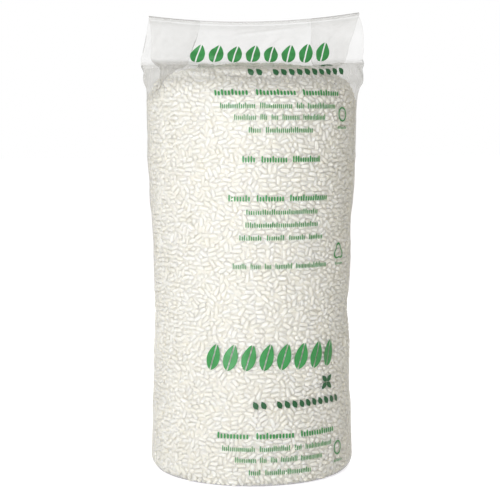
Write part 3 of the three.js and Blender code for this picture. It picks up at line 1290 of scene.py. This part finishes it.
def weld_tree():
    tree = bpy.data.node_groups.new("weld_ribs", "GeometryNodeTree")
    add_socket(tree, "Geometry", "Geometry")
    sizes = {name: add_socket(tree, name).identifier for name in RIB}
    add_socket(tree, "Geometry", "Geometry", "OUTPUT")
    nodes, links = tree.nodes, tree.links
    given, result = nodes.new("NodeGroupInput"), nodes.new("NodeGroupOutput")
    curve = nodes.new("GeometryNodeMeshToCurve")
    spread = nodes.new("GeometryNodeResampleCurve")
    spread.mode = "LENGTH"
    links.new(given.outputs["Geometry"], curve.inputs["Mesh"])
    links.new(curve.outputs["Curve"], spread.inputs["Curve"])
    links.new(given.outputs["Rib pitch"], spread.inputs["Length"])
    rib = nodes.new("GeometryNodeMeshCube")
    size = nodes.new("ShaderNodeCombineXYZ")
    for axis, name in enumerate(("Rib width", "Rib thickness", "Rib height")):
        links.new(given.outputs[name], size.inputs[axis])
    links.new(size.outputs[0], rib.inputs["Size"])
    tangent = nodes.new("GeometryNodeInputTangent")
    aim = nodes.new("FunctionNodeAlignRotationToVector")
    aim.axis = "X"
    aim.pivot_axis = "Y"
    links.new(tangent.outputs["Tangent"], aim.inputs["Vector"])
    place = nodes.new("GeometryNodeInstanceOnPoints")
    links.new(spread.outputs["Curve"], place.inputs["Points"])
    links.new(rib.outputs["Mesh"], place.inputs["Instance"])
    links.new(aim.outputs["Rotation"], place.inputs["Rotation"])
    real = nodes.new("GeometryNodeRealizeInstances")
    finish = nodes.new("GeometryNodeSetMaterial")
    finish.inputs["Material"].default_value = weld_film
    links.new(place.outputs["Instances"], real.inputs["Geometry"])
    links.new(real.outputs["Geometry"], finish.inputs["Geometry"])
    links.new(finish.outputs["Geometry"], result.inputs["Geometry"])
    return tree, sizes


def weld_piece():
    tree, sizes = weld_tree()
    line = film_grid[-2, np.abs(U) <= CORNER]
    line = line[np.argsort(line[:, 0])]
    mesh = bpy.data.meshes.new("weld_line")
    edges = [(k, k + 1) for k in range(len(line) - 1)]
    mesh.from_pydata([tuple(p) for p in line], edges, [])
    values = {sizes[name]: value for name, value in RIB.items()}
    return made_by_nodes("weld_ribs", placed("weld_line", mesh), tree, values)


weld = weld_piece()
print("weld", len(weld.data.polygons), "faces")

# %% [markdown]
# ## The studio
#
# A bag like this is shown on plain white: one large soft lamp to the left of the camera,
# another behind, and a white surround that fills the shadows. The surround and floor
# could simply be very bright, but then they would wash the bag out, so each has one
# brightness for the camera and a lower one for lighting. The camera looks slightly down
# from a little below the shoulder, with a long lens.

# %% The studio
SKY_LIGHT = (0.556, 0.533, 0.474)
FLOOR_SEEN = (0.60, 0.60, 0.66)
FLOOR_LIT = (0.10, 0.10, 0.095)
KEY_PLACE, KEY_POWER, KEY_SIZE = (-2.55, -4.35, 1.55), 196, 2.6
FILL_PLACE, FILL_POWER, FILL_SIZE = (0.6, 4.9, 1.7), 200, 2.4
LAMP_COLOUR = (0.97, 0.985, 1.0)
LAMP_AIM = (0, 0, 0.72)
FLOOR_HALF, FLOOR_DROP = 40, 0.0005


def seen_or_lit(tree, seen, lit, socket):
    """Give a glow one colour for the camera and another for lighting."""
    path = tree.nodes.new("ShaderNodeLightPath")
    mix = colour_mix(tree, lit, seen)
    tree.links.new(path.outputs["Is Camera Ray"], mix.inputs[0])
    tree.links.new(mix.outputs[2], socket)


def lamp(name, place, power, size, shine=True):
    """A soft square lamp. Without shine it lights the bag but is not mirrored in it."""
    light = bpy.data.lights.new(name, "AREA")
    light.energy = power
    light.size = size
    light.color = LAMP_COLOUR
    made = placed(name, light)
    made.location = place
    made.visible_glossy = shine
    made.rotation_euler = (Vector(LAMP_AIM) - made.location).to_track_quat("-Z", "Y").to_euler()


def studio():
    world = bpy.data.worlds.new("studio")
    bpy.context.scene.world = world
    world.use_nodes = True
    sky = world.node_tree.nodes["Background"]
    seen_or_lit(world.node_tree, (1, 1, 1), SKY_LIGHT, sky.inputs["Color"])
    floor_material, tree, shader = material("studio_floor")
    shader.inputs["Base Color"].default_value = (0.90, 0.90, 0.89, 1)
    shader.inputs["Roughness"].default_value = 0.9
    shader.inputs["Emission Strength"].default_value = 1.0
    seen_or_lit(tree, FLOOR_SEEN, FLOOR_LIT, shader.inputs["Emission Color"])
    mesh = bpy.data.meshes.new("floor")
    r = FLOOR_HALF
    mesh.from_pydata([(-r, -r, 0), (r, -r, 0), (r, r, 0), (-r, r, 0)], [], [(0, 1, 2, 3)])
    mesh.transform(Matrix.Translation((0, 0, -FLOOR_DROP)))
    mesh.materials.append(floor_material)
    floor = placed("floor", mesh)
    lamp("key", KEY_PLACE, KEY_POWER, KEY_SIZE)
    lamp("fill", FILL_PLACE, FILL_POWER, FILL_SIZE, shine=False)


studio()

# %% Camera
LENS, SENSOR, SHIFT = 106.6, 36, -0.0035
AWAY, EYE_HEIGHT = 5.0, 1.18
AZIMUTH, PITCH = -14, 5.03  # degrees


def camera():
    lens = bpy.data.cameras.new("camera")
    lens.lens = LENS
    lens.sensor_width = SENSOR
    lens.shift_x = SHIFT
    cam = placed("camera", lens)
    azimuth = math.radians(AZIMUTH)
    cam.location = (AWAY * math.sin(azimuth), -AWAY * math.cos(azimuth), EYE_HEIGHT)
    pitch = math.radians(PITCH)
    cam.rotation_euler = Euler((math.pi / 2 - pitch, 0, azimuth), "XYZ")
    bpy.context.scene.camera = cam
    print("camera at", [round(x, 3) for x in cam.location])


camera()
bpy.context.scene.view_settings.view_transform = "Standard"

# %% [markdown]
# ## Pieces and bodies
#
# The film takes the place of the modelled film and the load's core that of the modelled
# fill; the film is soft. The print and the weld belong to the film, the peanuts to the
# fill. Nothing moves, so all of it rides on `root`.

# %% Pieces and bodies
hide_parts("film_bag")
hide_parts("peanut_fill")
for piece in [film, green_print, dark_print, weld, *peanuts, core]:
    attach(piece, "root")
